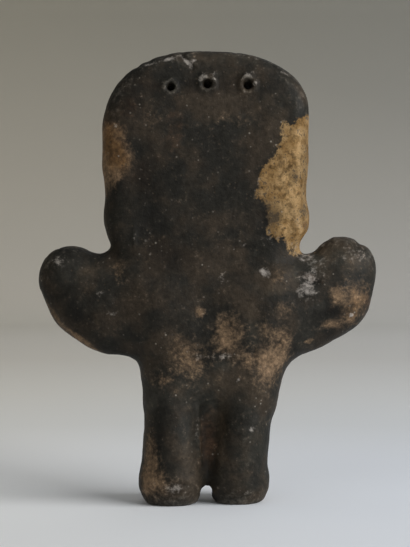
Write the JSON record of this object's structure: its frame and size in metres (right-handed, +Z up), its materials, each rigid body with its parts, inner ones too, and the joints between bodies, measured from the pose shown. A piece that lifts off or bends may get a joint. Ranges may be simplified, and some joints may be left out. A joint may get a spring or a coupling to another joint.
{
  "type": "anthropomorphic clay statuette",
  "caption": "Standing flat-headed human figure of fired clay with raised stub arms, short thick legs and a pierced crown.",
  "frame": {"origin": "on the ground, under the middle of the figure's bounding box", "axes": "+Z up along the height, the face looks along -Y and the figure's left arm is at +X"},
  "size_m": [0.1636, 0.0458, 0.218],
  "materials": {
    "fired_clay": "smoke-darkened, hand-burnished, matt to slightly waxy, with worn buff patches"
  },
  "bodies": {
    "root": {"clay_figure": "fired_clay"}
  },
  "joints": []
}
